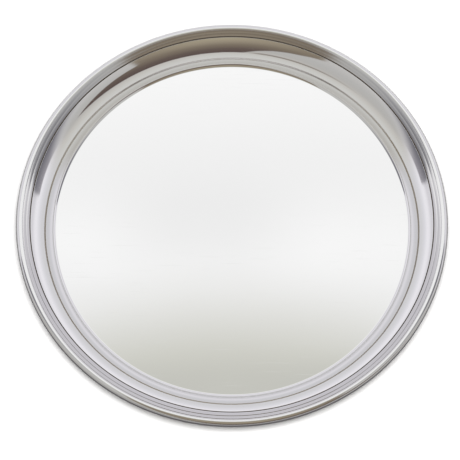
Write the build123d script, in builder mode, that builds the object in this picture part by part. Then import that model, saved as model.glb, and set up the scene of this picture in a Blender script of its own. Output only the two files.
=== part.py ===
from build123d import *
from math import acos, cos, degrees, radians, sin
import os

# A round serving tray of polished stainless steel, lying flat, in millimetres.
# The origin is the centre of the underside and +Z is the tray's axis.
# Every piece is a section on the XZ plane, radius across and height up, revolved about Z.

# Driving dimensions
tray_diameter = 400.0
sheet_thickness = 0.9
floor_radius = 164.2

# Side wall of the pan: radii and slopes of its upper surface
floor_bend_radius = 4.0
wall_foot_angle = 67.5
wall_head_angle = 22.0
wall_arc_radius = 33.13

# Crest of the wall: folded sharp, with a short drop to the flange under the border
crest_radius = 0.3
crest_drop_angle = 65.0
crest_drop_length = 0.65
seam_bend_radius = 0.25
flange_end_radius = 194.2

# Border moulding, from the seam outwards: toe, riser, reeds and shoulder
seam_gap = 0.15
toe_height = 0.8
riser_height = 0.96
riser_angle = 60.0
reed_count = 2
reed_width = 3.0
reed_foot_angle = 19.0
reed_head_angle = 10.0
reed_drop_angle = 85.0
reed_depth = 0.55
shoulder_foot_angle = 55.0
shoulder_back_angle = 12.0
shoulder_radius = 1.3

# Rolled outer edge, and the wire that it is closed over
roll_radius = 3.8
roll_wall = 0.8
wire_radius = 1.8
wire_clearance = 0.15

roll_centre_radius = tray_diameter / 2 - roll_radius
cavity_radius = roll_radius - roll_wall


def direction(angle):
    """Unit vector that climbs outwards at an angle in degrees."""
    return cos(radians(angle)), sin(radians(angle))


def floor_and_wall(depth, last_angle):
    """Draw the floor and wall at a depth below the sheet's upper surface, up to a slope of the wall."""
    height = sheet_thickness - depth
    floor = Line((0, height), (floor_radius, height))
    bend = JernArc(floor @ 1, floor % 1, floor_bend_radius + depth, wall_foot_angle)
    wall = JernArc(bend @ 1, bend % 1, wall_arc_radius - depth, last_angle - wall_foot_angle)
    return floor, wall


def seam_and_flange(start, depth):
    """Draw the bend at the foot of the crest and the flange beyond it."""
    seam = JernArc(start, direction(-crest_drop_angle), seam_bend_radius + depth, crest_drop_angle)
    return Line(seam @ 1, (flange_end_radius, (seam @ 1).Y))


# Pan: one sheet drawn into the floor, side wall, crest and the flange under the border
with BuildPart() as tray_pan:
    with BuildSketch(Plane.XZ):
        with BuildLine():
            upper_floor, upper_wall = floor_and_wall(0, wall_head_angle)
            crest_turn = -wall_head_angle - crest_drop_angle
            crest = JernArc(upper_wall @ 1, upper_wall % 1, crest_radius, crest_turn)
            drop_end = crest @ 1 + Vector(*direction(-crest_drop_angle)) * crest_drop_length
            Line(crest @ 1, drop_end)
            upper_flange = seam_and_flange(drop_end, 0)
            # The inside of the crest is a plain corner, where the undersides of wall and drop meet
            outward = Vector(*direction(90 - crest_drop_angle))
            lower_drop_end = drop_end - outward * sheet_thickness
            wall_outward = Vector(*direction(wall_head_angle - 90))
            wall_centre = upper_wall @ 1 + wall_outward * wall_arc_radius
            reach = (lower_drop_end - wall_centre).dot(outward)
            corner_angle = degrees(acos(reach / (wall_arc_radius - sheet_thickness))) - crest_drop_angle
            lower_floor, lower_wall = floor_and_wall(sheet_thickness, corner_angle)
            Line(lower_wall @ 1, lower_drop_end)
            lower_flange = seam_and_flange(lower_drop_end, sheet_thickness)
            Line(upper_floor @ 0, lower_floor @ 0)
            Line(upper_flange @ 1, lower_flange @ 1)
        make_face()
    revolve(axis=Axis.Z)

flange_top = (upper_flange @ 0).Y
flange_underside = flange_top - sheet_thickness
reed_arc_radius = reed_width / (sin(radians(reed_foot_angle)) - sin(radians(reed_head_angle)))

# Border: it sits on the flange, and its outer edge is rolled down and under to close on the flange
with BuildPart() as border_ring:
    with BuildSketch(Plane.XZ):
        with BuildLine():
            toe_start = Vector((upper_flange @ 0).X + seam_gap, flange_top)
            toe_length = toe_height / sin(radians(crest_drop_angle))
            toe = PolarLine(toe_start, toe_length, 180 - crest_drop_angle)
            riser = PolarLine(toe @ 1, riser_height / sin(radians(riser_angle)), riser_angle)
            start = riser @ 1
            reed_turn = reed_head_angle - reed_foot_angle
            for reed in range(reed_count):
                tread = JernArc(start, direction(reed_foot_angle), reed_arc_radius, reed_turn)
                drop = PolarLine(tread @ 1, reed_depth / sin(radians(reed_drop_angle)), -reed_drop_angle)
                start = drop @ 1
            shoulder_turn = shoulder_back_angle - shoulder_foot_angle
            shoulder = JernArc(start, direction(shoulder_foot_angle), shoulder_radius, shoulder_turn)
            # The back of the shoulder ends level over the roll's centre
            back_radius = (roll_centre_radius - (shoulder @ 1).X) / sin(radians(shoulder_back_angle))
            back = JernArc(shoulder @ 1, shoulder % 1, back_radius, -shoulder_back_angle)
            roll_centre = back @ 1 - Vector(0, roll_radius)
            curl_sweep = 360 - degrees(acos((flange_underside - roll_centre.Y) / roll_radius))
            roll = JernArc(back @ 1, back % 1, roll_radius, -curl_sweep)
            curl_end = Line(roll @ 1, ((roll @ 1).X, flange_top))
            Line(curl_end @ 1, toe_start)
        make_face()
        with Locations(roll_centre):
            Circle(cavity_radius, mode=Mode.SUBTRACT)
        with Locations(curl_end @ 0):
            Rectangle(
                flange_end_radius - (curl_end @ 0).X,
                sheet_thickness,
                align=(Align.MIN, Align.MIN),
                mode=Mode.SUBTRACT,
            )
    revolve(axis=Axis.Z)

# Wire: a plain hoop that lies in the bottom of the roll
with BuildPart() as rim_wire:
    with BuildSketch(Plane.XZ):
        with Locations((roll_centre_radius, roll_centre.Y - cavity_radius + wire_radius + wire_clearance)):
            Circle(wire_radius)
    revolve(axis=Axis.Z)

tray_pan.part.label = "tray_pan"
border_ring.part.label = "border_ring"
rim_wire.part.label = "rim_wire"

os.makedirs("parts", exist_ok=True)
for piece in (tray_pan.part, border_ring.part, rim_wire.part):
    export_step(piece, f"parts/{piece.label}.step")
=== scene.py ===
from math import acos, cos, pi, radians, sin
import bpy
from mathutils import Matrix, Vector


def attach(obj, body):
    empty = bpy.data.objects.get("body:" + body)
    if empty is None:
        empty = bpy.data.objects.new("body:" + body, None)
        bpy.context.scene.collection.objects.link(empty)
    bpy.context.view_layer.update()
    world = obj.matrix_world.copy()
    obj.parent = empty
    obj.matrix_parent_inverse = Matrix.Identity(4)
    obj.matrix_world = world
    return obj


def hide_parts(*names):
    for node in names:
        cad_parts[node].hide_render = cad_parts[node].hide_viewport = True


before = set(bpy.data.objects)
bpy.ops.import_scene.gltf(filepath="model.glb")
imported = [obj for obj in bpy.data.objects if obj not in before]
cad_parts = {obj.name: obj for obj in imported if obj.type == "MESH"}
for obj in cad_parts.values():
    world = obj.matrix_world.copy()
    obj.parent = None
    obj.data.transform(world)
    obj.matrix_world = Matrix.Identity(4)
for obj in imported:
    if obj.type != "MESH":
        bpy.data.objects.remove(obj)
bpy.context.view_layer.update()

# A round serving tray of polished stainless steel on a plain pale floor. Metres, same frame as the CAD.

MM = 0.001

# ---------------------------------------------------------------- sizes, the same as the CAD's
TRAY_RADIUS = 200 * MM
SHEET = 0.9 * MM

# Side wall of the pan: radii and slopes of its upper surface
FLOOR_RADIUS = 164.2 * MM
FLOOR_BEND = 4.0 * MM
WALL_FOOT = radians(67.5)
WALL_HEAD = radians(22)
WALL_ARC = 33.13 * MM
CREST = 0.3 * MM
CREST_DROP = radians(65)
DROP_LENGTH = 0.65 * MM
SEAM_BEND = 0.25 * MM
FLANGE_END = 194.2 * MM

# Border moulding
SEAM_GAP = 0.15 * MM
TOE_HEIGHT = 0.8 * MM
RISER_HEIGHT = 0.96 * MM
RISER_SLOPE = radians(60)
REED_COUNT = 2
REED_WIDTH = 3.0 * MM
REED_FOOT = radians(19)
REED_HEAD = radians(10)
REED_DROP = radians(85)
REED_DEPTH = 0.55 * MM
SHOULDER_FOOT = radians(55)
SHOULDER_BACK = radians(12)
SHOULDER_ARC = 1.3 * MM
ROLL = 3.8 * MM
ROLL_WALL = 0.8 * MM

# Mesh fineness: faces around, and the turn of an arc from one point to the next
AROUND = 400
ARC_STEP = radians(2.5)
SHARP = radians(20)
FLOOR_RINGS = 24
RISER_RINGS = 4
# The close point beside each end of a straight run, so that smooth shading stays flat along it
HOLD = 0.02 * MM

# Materials: the steel's brightness, and where they change, in the millimetres that the shaders work in
STEEL_SHINE = 0.86
WALL_START = 166
# The painted shade in the border's seam lies inside SEAM_EDGE
SEAM_EDGE = 187.3
LIP_START = 193.6
# The painted shadow on the roll's underside lies outside UNDERSIDE_START and below UNDERSIDE_TOP
UNDERSIDE_START = 197.0
UNDERSIDE_TOP = 22.25

# Floor, key light and camera
FLOOR_HALF = 5.0
FLOOR_DROP = 0.2 * MM
KEY_SIZE = 1.1
KEY_POWER = 130
KEY_PLACE = (0.05, -0.6, 2.5)
RIM_HEIGHT = 21.1 * MM
CAMERA_LENS = 152.1
CAMERA_SENSOR = 36
CAMERA_ELEVATION = radians(68.33)
CAMERA_DISTANCE = 1.8
CAMERA_AIM = (-0.0017, -0.0124, RIM_HEIGHT)


# ---------------------------------------------------------------- sections, as lists of (radius, height)
class Path:
    """A section drawn like a pen: straight runs and arcs that leave at the heading they arrived with."""

    def __init__(self, start, heading=0.0):
        self.points = [start]
        self.heading = heading

    def run(self, length, parts=1):
        x, y = self.points[-1]
        for i in range(1, parts + 1):
            step = length * i / parts
            self.points.append((x + step * cos(self.heading), y + step * sin(self.heading)))

    def to(self, x, y):
        self.points.append((x, y))

    def arc(self, radius, turn):
        """Turn by an angle, left when it is positive, on an arc of this radius."""
        side = 1 if turn > 0 else -1
        x, y = self.points[-1]
        centre = (x - side * radius * sin(self.heading), y + side * radius * cos(self.heading))
        parts = max(3, round(abs(turn) / ARC_STEP))
        for i in range(1, parts + 1):
            a = self.heading + turn * i / parts
            self.points.append((centre[0] + side * radius * sin(a), centre[1] - side * radius * cos(a)))
        self.heading += turn


def wall_path(depth, head):
    """Floor and side wall at a depth below the sheet's upper surface, up to a slope of the wall."""
    path = Path((0.0, SHEET - depth))
    path.run(FLOOR_RADIUS - HOLD, FLOOR_RINGS)
    path.run(HOLD)
    path.arc(FLOOR_BEND + depth, WALL_FOOT)
    path.arc(WALL_ARC - depth, head - WALL_FOOT)
    return path


def seam_path(path, depth):
    """The rest of the sheet: the bend at the foot of the crest, then the flange under the border."""
    path.heading = -CREST_DROP
    path.arc(SEAM_BEND + depth, CREST_DROP)
    flange = FLANGE_END - path.points[-1][0]
    path.run(HOLD)
    path.run(flange - 2 * HOLD)
    path.run(HOLD)
    return path.points


def pan_section():
    """Both faces of the sheet. The crest is folded sharp, so its inside is a plain corner."""
    upper = wall_path(0.0, WALL_HEAD)
    upper.arc(CREST, -WALL_HEAD - CREST_DROP)
    upper.run(DROP_LENGTH)
    x, y = upper.points[-1]
    inside = (x - SHEET * sin(CREST_DROP), y - SHEET * cos(CREST_DROP))
    foot = wall_path(0.0, WALL_FOOT).points[-1]
    centre = (foot[0] + WALL_ARC * sin(WALL_FOOT), foot[1] - WALL_ARC * cos(WALL_FOOT))
    reach = (inside[0] - centre[0]) * sin(CREST_DROP) + (inside[1] - centre[1]) * cos(CREST_DROP)
    lower = wall_path(SHEET, acos(reach / (WALL_ARC - SHEET)) - CREST_DROP)
    lower.to(*inside)
    return seam_path(upper, 0.0), seam_path(lower, SHEET)


upper_sheet, lower_sheet = pan_section()
# A flange is the last four points of its section: two ends, and the close point beside each
FLANGE_POINTS = 4
FLANGE_TOP = upper_sheet[-1][1]
TOE_RADIUS = upper_sheet[-FLANGE_POINTS][0] + SEAM_GAP


def border_section():
    """The moulding: toe, stepped reeds, shoulder and the rolled edge, then back along the inside."""
    reed_arc = REED_WIDTH / (sin(REED_FOOT) - sin(REED_HEAD))
    path = Path((TOE_RADIUS, FLANGE_TOP), pi - CREST_DROP)
    path.run(TOE_HEIGHT / sin(CREST_DROP))
    path.heading = RISER_SLOPE
    path.run(RISER_HEIGHT / sin(RISER_SLOPE), RISER_RINGS)
    for _ in range(REED_COUNT):
        path.heading = REED_FOOT
        path.arc(reed_arc, REED_HEAD - REED_FOOT)
        path.heading = -REED_DROP
        path.run(REED_DEPTH / sin(REED_DROP))
    roll_centre_x = TRAY_RADIUS - ROLL
    path.heading = SHOULDER_FOOT
    path.arc(SHOULDER_ARC, SHOULDER_BACK - SHOULDER_FOOT)
    back_arc = (roll_centre_x - path.points[-1][0]) / sin(SHOULDER_BACK)
    path.arc(back_arc, -SHOULDER_BACK)
    roll_centre_y = path.points[-1][1] - ROLL
    curl_height = FLANGE_TOP - SHEET - roll_centre_y
    path.arc(ROLL, -(2 * pi - acos(curl_height / ROLL)))
    cavity = ROLL - ROLL_WALL
    start = acos(curl_height / cavity)
    stop = acos((FLANGE_TOP - roll_centre_y) / cavity)
    sweep = 2 * pi - start + stop
    parts = round(sweep / ARC_STEP / 2)
    for i in range(parts + 1):
        a = start + sweep * i / parts
        path.to(roll_centre_x - cavity * sin(a), roll_centre_y + cavity * cos(a))
    return path.points


def revolve(name, section, on_axis):
    """A closed solid of revolution. A section on the axis starts and ends there, any other one is a loop."""
    verts = []
    faces = []
    rings = []
    for x, y in section:
        if on_axis and x < HOLD:
            rings.append([len(verts)] * AROUND)
            verts.append((0.0, 0.0, y))
            continue
        first = len(verts)
        for i in range(AROUND):
            a = 2 * pi * i / AROUND
            verts.append((x * cos(a), x * sin(a), y))
        rings.append([first + i for i in range(AROUND)])
    pairs = list(zip(rings, rings[1:]))
    if not on_axis:
        pairs.append((rings[-1], rings[0]))
    for inner, outer in pairs:
        for i in range(AROUND):
            j = (i + 1) % AROUND
            corners = []
            for v in (inner[i], outer[i], outer[j], inner[j]):
                if v not in corners:
                    corners.append(v)
            if len(corners) > 2:
                faces.append(corners)
    mesh = bpy.data.meshes.new(name)
    mesh.from_pydata(verts, [], faces)
    mesh.validate()
    mesh.shade_smooth()
    mesh.set_sharp_from_angle(angle=SHARP)
    piece = bpy.data.objects.new(name, mesh)
    bpy.context.scene.collection.objects.link(piece)
    return piece


pan = revolve("pan_skin", upper_sheet + lower_sheet[::-1], True)
border = revolve("border_skin", border_section(), False)

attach(pan, "root")
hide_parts("tray_pan")
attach(border, "root")
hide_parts("border_ring")


# ---------------------------------------------------------------- shader helpers
class Maths:
    """Small helper that writes node sums: each call adds one Math node and returns its output."""

    def __init__(self, tree):
        self.tree = tree

    def __call__(self, operation, *values):
        node = self.tree.nodes.new("ShaderNodeMath")
        node.operation = operation
        for socket, value in zip(node.inputs, values):
            self.feed(socket, value)
        return node.outputs[0]

    def feed(self, socket, value):
        """Put a number on the socket, or link another node's output to it."""
        if isinstance(value, (int, float)):
            socket.default_value = value
        else:
            self.tree.links.new(value, socket)

    def product(self, *factors):
        result = factors[0]
        for factor in factors[1:]:
            result = self("MULTIPLY", result, factor)
        return result

    def length(self, a, b):
        squares = self("ADD", self("MULTIPLY", a, a), self("MULTIPLY", b, b))
        return self("SQRT", squares)

    def line(self, u, v, through, towards):
        """Signed distance from a line through two points, positive on its left."""
        dx, dy = towards[0] - through[0], towards[1] - through[1]
        size = (dx * dx + dy * dy) ** 0.5
        across = self("MULTIPLY_ADD", u, -dy / size, (through[0] * dy - through[1] * dx) / size)
        return self("MULTIPLY_ADD", v, dx / size, across)

    def above(self, value, centre, width):
        """0 below the centre, 1 above it, smooth over the width."""
        node = self.tree.nodes.new("ShaderNodeMapRange")
        node.interpolation_type = "SMOOTHSTEP"
        node.inputs["From Min"].default_value = centre - width / 2
        node.inputs["From Max"].default_value = centre + width / 2
        self.tree.links.new(value, node.inputs["Value"])
        return node.outputs["Result"]

    def below(self, value, centre, width):
        """1 below the centre, 0 above it, smooth over the width."""
        return self("SUBTRACT", 1.0, self.above(value, centre, width))

    def ramp(self, value, stops):
        """Colours along a value of 0 to 1, from a list of (position, colour)."""
        node = self.tree.nodes.new("ShaderNodeValToRGB")
        ramp = node.color_ramp
        while len(ramp.elements) < len(stops):
            ramp.elements.new(0.5)
        for element, (position, colour) in zip(ramp.elements, stops):
            element.position = position
            element.color = (*colour, 1)
        self.tree.links.new(value, node.inputs["Fac"])
        return node.outputs["Color"]

    def mix(self, factor, a, b):
        """Colour a where the factor is 0 and colour b where it is 1."""
        node = self.tree.nodes.new("ShaderNodeMix")
        node.data_type = "RGBA"
        self.tree.links.new(factor, node.inputs[0])
        for socket, value in ((node.inputs[6], a), (node.inputs[7], b)):
            if isinstance(value, tuple):
                socket.default_value = (*value, 1)
            else:
                self.tree.links.new(value, socket)
        return node.outputs[2]


# ---------------------------------------------------------------- materials
class Surface:
    """A Principled material with its object coordinates, and the textures that give it detail."""

    def __init__(self, name, metallic):
        self.material = bpy.data.materials.new(name)
        self.material.use_nodes = True
        self.tree = self.material.node_tree
        self.maths = Maths(self.tree)
        self.shader = self.tree.nodes["Principled BSDF"]
        self.shader.inputs["Metallic"].default_value = metallic
        coords = self.tree.nodes.new("ShaderNodeTexCoord")
        self.place = coords.outputs["Object"]
        split = self.tree.nodes.new("ShaderNodeSeparateXYZ")
        self.tree.links.new(self.place, split.inputs[0])
        x, y, z = split.outputs
        # Radius from the tray's axis and height above its underside, in millimetres
        self.radius = self.maths("DIVIDE", self.maths.length(x, y), MM)
        self.height = self.maths("DIVIDE", z, MM)

    def plain_colour(self, r, g, b):
        self.shader.inputs["Base Color"].default_value = (r, g, b, 1)

    def colour(self, value):
        self.tree.links.new(value, self.shader.inputs["Base Color"])

    def roughness(self, base, swings=(), marks=(), least=0.0):
        """Swings are (pattern, amount) around the base, marks are (pattern, amount) on top of it."""
        rough = base
        for pattern, amount in swings:
            rough = self.maths("MULTIPLY_ADD", self.maths("SUBTRACT", pattern, 0.5), amount, rough)
        for pattern, amount in marks:
            rough = self.maths("MULTIPLY_ADD", pattern, amount, rough)
        self.tree.links.new(self.maths("MAXIMUM", rough, least), self.shader.inputs["Roughness"])

    def cloud(self, size, detail, stretch=(1, 1, 1), turn=0.0):
        """Noise of about 0 to 1 with features of this size in metres, stretched along the turned axes."""
        mapping = self.tree.nodes.new("ShaderNodeMapping")
        mapping.inputs["Rotation"].default_value = (0, 0, turn)
        mapping.inputs["Scale"].default_value = [1 / (size * factor) for factor in stretch]
        self.tree.links.new(self.place, mapping.inputs["Vector"])
        noise = self.tree.nodes.new("ShaderNodeTexNoise")
        noise.inputs["Scale"].default_value = 1.0
        noise.inputs["Detail"].default_value = detail
        self.tree.links.new(mapping.outputs["Vector"], noise.inputs["Vector"])
        return noise.outputs["Fac"]

    def rings(self, value, per_mm):
        """Noise along one value only: concentric lines when the value is the radius."""
        noise = self.tree.nodes.new("ShaderNodeTexNoise")
        noise.noise_dimensions = "1D"
        noise.inputs["Scale"].default_value = per_mm
        noise.inputs["Detail"].default_value = 3.0
        self.tree.links.new(value, noise.inputs["W"])
        return noise.outputs["Fac"]

    def bump(self, pattern, depth):
        """Relief of this depth in metres where the pattern goes from 0 to 1."""
        node = self.tree.nodes.new("ShaderNodeBump")
        node.inputs["Strength"].default_value = 1.0
        node.inputs["Distance"].default_value = depth
        self.tree.links.new(pattern, node.inputs["Height"])
        self.tree.links.new(node.outputs["Normal"], self.shader.inputs["Normal"])


def hairlines(surface):
    """Sparse straight scratches in three directions, 1 on a scratch and 0 elsewhere."""
    marks = 0.0
    for turn in (0.35, 1.5, 2.6):
        streak = surface.cloud(0.0012, 1.0, (45, 1, 1), turn)
        marks = surface.maths("MAXIMUM", marks, surface.maths.above(streak, 0.74, 0.06))
    return marks


def pan_material():
    """Mirror-polished sheet: faint smears, polishing rings, hairline scratches, and a duller side wall."""
    surface = Surface("pan_steel", 1.0)
    surface.plain_colour(STEEL_SHINE, STEEL_SHINE, STEEL_SHINE)
    smear = surface.cloud(0.09, 3.0)
    polish = surface.rings(surface.radius, 1.6)
    wall = surface.maths.above(surface.radius, WALL_START, 2.0)
    scratches = hairlines(surface)
    surface.roughness(0.045, [(smear, 0.04), (polish, 0.03)], [(scratches, 0.07), (wall, 0.02)], 0.02)
    surface.bump(surface.cloud(0.12, 1.0), 0.04 * MM)
    return surface.material


def border_material():
    """Turned moulding, brighter on its lip, with painted shade darkening the seam and a painted shadow
    darkening the underside of the roll, both of them also rougher.
    """
    surface = Surface("border_steel", 1.0)
    maths = surface.maths
    lip = maths.above(surface.radius, LIP_START, 3.0)
    # Painted shade: the seam is coloured dark brown where the gap lies in shadow, and made rougher
    seam = maths.below(surface.radius, SEAM_EDGE, 0.1)
    # Painted shadow: the outer underside of the roll is coloured near black in place of the reflected contact
    # shadow, and made rougher
    outside = maths.above(surface.radius, UNDERSIDE_START, 1.0)
    underside = maths.product(outside, maths.below(surface.height, UNDERSIDE_TOP, 1.6))
    steel = maths.mix(lip, (0.72, 0.715, 0.72), (0.82, 0.82, 0.82))
    seam_shaded = maths.mix(seam, steel, (0.2, 0.17, 0.14))
    surface.colour(maths.mix(underside, seam_shaded, (0.1, 0.095, 0.1)))
    turned = surface.rings(surface.radius, 5.0)
    grime = surface.cloud(0.02, 3.0)
    dull = maths("MAXIMUM", seam, underside)
    surface.roughness(0.09, [(turned, 0.07), (grime, 0.04)], [(dull, 0.37)], 0.03)
    surface.bump(turned, 0.002 * MM)
    return surface.material


def wire_material():
    """Drawn wire, dull and patchy."""
    surface = Surface("wire_steel", 1.0)
    surface.plain_colour(0.5, 0.5, 0.5)
    drawn = surface.rings(surface.height, 9.0)
    patch = surface.cloud(0.006, 3.0)
    surface.roughness(0.2, marks=[(drawn, 0.16), (patch, 0.08)])
    surface.bump(drawn, 0.01 * MM)
    return surface.material


def floor_material():
    surface = Surface("floor_white", 0.0)
    surface.colour(surface.maths.mix(surface.cloud(0.3, 3.0), (0.49, 0.49, 0.49), (0.51, 0.51, 0.51)))
    surface.roughness(0.86, marks=[(surface.cloud(0.01, 4.0), 0.08)])
    return surface.material


pan.data.materials.append(pan_material())
border.data.materials.append(border_material())
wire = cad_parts["rim_wire"]
wire.data.materials.clear()
wire.data.materials.append(wire_material())

# ---------------------------------------------------------------- floor
outline = [(-1, -1), (1, -1), (1, 1), (-1, 1)]
floor_mesh = bpy.data.meshes.new("floor")
floor_points = [(x * FLOOR_HALF, y * FLOOR_HALF, -FLOOR_DROP) for x, y in outline]
floor_mesh.from_pydata(floor_points, [], [(0, 1, 2, 3)])
floor_mesh.materials.append(floor_material())
floor = bpy.data.objects.new("floor", floor_mesh)
bpy.context.scene.collection.objects.link(floor)


# ---------------------------------------------------------------- studio, a tent that the steel mirrors
def seen(r, g, b):
    """The light that, once reflected by the steel, is displayed as this colour of 0 to 255."""
    return tuple((c / 255) ** 2.2 / STEEL_SHINE for c in (r, g, b))


def grey(level):
    return seen(level, level, level)


def directions(tree, m):
    """Each direction as a flat place (u, v): the zenith is (0, 0) and the horizon a circle of radius 1."""
    coords = tree.nodes.new("ShaderNodeTexCoord")
    split = tree.nodes.new("ShaderNodeSeparateXYZ")
    tree.links.new(coords.outputs["Generated"], split.inputs[0])
    x, y, z = split.outputs
    depth = m("MAXIMUM", m("ADD", z, 1.0), 0.05)
    return m("DIVIDE", x, depth), m("DIVIDE", y, depth)


def tent_walls(m, u, v):
    """The walls at the sides, and the back wall with the bright panel that the floor of the tray mirrors."""
    # Ramps run over half the distance from the zenith, so the horizon is at 0.5
    fall = m("MULTIPLY", m.length(u, v), 0.5)
    sides = m.ramp(fall, [
        (0.0, seen(195, 193, 195)), (0.1, seen(188, 186, 184)), (0.2, seen(177, 176, 174)),
        (0.27, seen(176, 174, 171)), (0.33, seen(190, 187, 182)), (0.4, seen(197, 196, 192)),
        (0.5, seen(203, 202, 200)), (1.0, seen(203, 202, 202))])
    back = m.ramp(fall, [
        (0.073, seen(190, 190, 182)), (0.078, seen(204, 204, 196)), (0.085, seen(230, 230, 228)),
        (0.088, grey(243)), (0.096, grey(234)), (0.117, grey(248)),
        (0.14, seen(208, 206, 211)), (0.22, seen(208, 206, 211)), (0.26, seen(228, 226, 231)),
        (0.29, seen(230, 228, 233)), (0.35, seen(214, 213, 218)), (0.41, seen(206, 205, 208)),
        (0.5, seen(203, 202, 205)), (1.0, seen(199, 198, 201))])
    # A soft glow on each side of the bright panel
    beside = m("ABSOLUTE", m("ADD", u, 0.007))
    glow = m.product(m.above(beside, 0.02, 0.03), m.below(beside, 0.06, 0.02),
                     m.above(v, 0.177, 0.016), m.below(v, 0.196, 0.03), 0.75)
    back = m.mix(glow, back, grey(250))
    return m.mix(m.above(v, 0.02, 0.24), sides, back)


def with_roof(m, u, v, sky):
    """The roof of the tent: a grey panel, darkest in a strip on each side."""
    aside = m("ABSOLUTE", u)
    panel = m.ramp(aside, [
        (0.0, seen(194, 194, 187)), (0.06, seen(190, 190, 185)), (0.14, seen(162, 162, 164)),
        (0.23, seen(120, 119, 124)), (0.31, seen(105, 104, 110)), (0.4, seen(126, 124, 130)),
        (0.52, seen(150, 147, 153))])
    skewed = m("MULTIPLY_ADD", u, -0.038, v)
    mask = m.product(m.below(skewed, 0.15, 0.012), m.above(v, 0.01, 0.12), m.below(aside, 0.535, 0.04))
    return m.mix(mask, sky, panel)


def with_opening(m, u, v, sky):
    """The dark opening on the camera's side: an arch cut by straight edges, and its thin trim to the left."""
    edge = 0.015
    arch = m.length(m("SUBTRACT", u, -0.03), m("SUBTRACT", v, -0.12))
    trim = m.product(m.above(arch, 0.505, 0.05), m.below(arch, 0.56, 0.02),
                     m.below(v, -0.42, 0.3), m.below(u, -0.1, 0.1), 0.75)
    sky = m.mix(trim, sky, seen(112, 102, 94))
    inside = m.length(m("SUBTRACT", u, 0.02), m("SUBTRACT", v, -0.17))
    dark = m.ramp(inside, [
        (0.0, seen(162, 153, 132)), (0.1, seen(148, 138, 121)), (0.2, seen(124, 114, 101)),
        (0.34, seen(100, 89, 83)), (0.48, seen(88, 76, 73))])
    corner = (0.262, -0.25)
    notch = m.product(m.below(m.line(u, v, corner, (0.07, 0.08)), 0.0, edge),
                      m.above(m.line(u, v, corner, (0.48, -0.15)), 0.0, edge))
    mask = m.product(
        m.below(arch, 0.547, edge),
        m.above(u, -0.2, edge),
        m.above(m.line(u, v, (-0.065, 0.08), (-0.21, -0.2)), 0.0, edge),
        m.above(m.line(u, v, (-0.205, -0.3), (-0.085, -0.6)), 0.0, edge),
        m("SUBTRACT", 1.0, notch),
        m.below(v, 0.06, 2 * edge))
    return m.mix(mask, sky, dark)


world = bpy.data.worlds.new("studio")
bpy.context.scene.world = world
world.use_nodes = True
tree = world.node_tree
maths = Maths(tree)
u, v = directions(tree, maths)
sky = tent_walls(maths, u, v)
sky = with_roof(maths, u, v, sky)
sky = with_opening(maths, u, v, sky)
tree.links.new(sky, tree.nodes["Background"].inputs["Color"])


def aimed_object(data, location, aim):
    """An object for this light or camera, turned towards the aim."""
    thing = bpy.data.objects.new(data.name, data)
    bpy.context.scene.collection.objects.link(thing)
    thing.location = location
    thing.rotation_euler = (Vector(aim) - thing.location).to_track_quat("-Z", "Y").to_euler()
    return thing


key_data = bpy.data.lights.new("key", "AREA")
key_data.shape = "DISK"
key_data.size = KEY_SIZE
key_data.energy = KEY_POWER
key = aimed_object(key_data, KEY_PLACE, (0, 0, 0))
key.visible_glossy = False

# ---------------------------------------------------------------- camera
camera_data = bpy.data.cameras.new("camera")
camera_data.lens = CAMERA_LENS
camera_data.sensor_width = CAMERA_SENSOR
forward = CAMERA_DISTANCE * cos(CAMERA_ELEVATION)
up = CAMERA_DISTANCE * sin(CAMERA_ELEVATION)
bpy.context.scene.camera = aimed_object(camera_data, (0, -forward, up + RIM_HEIGHT), CAMERA_AIM)
bpy.context.scene.view_settings.view_transform = "Standard"
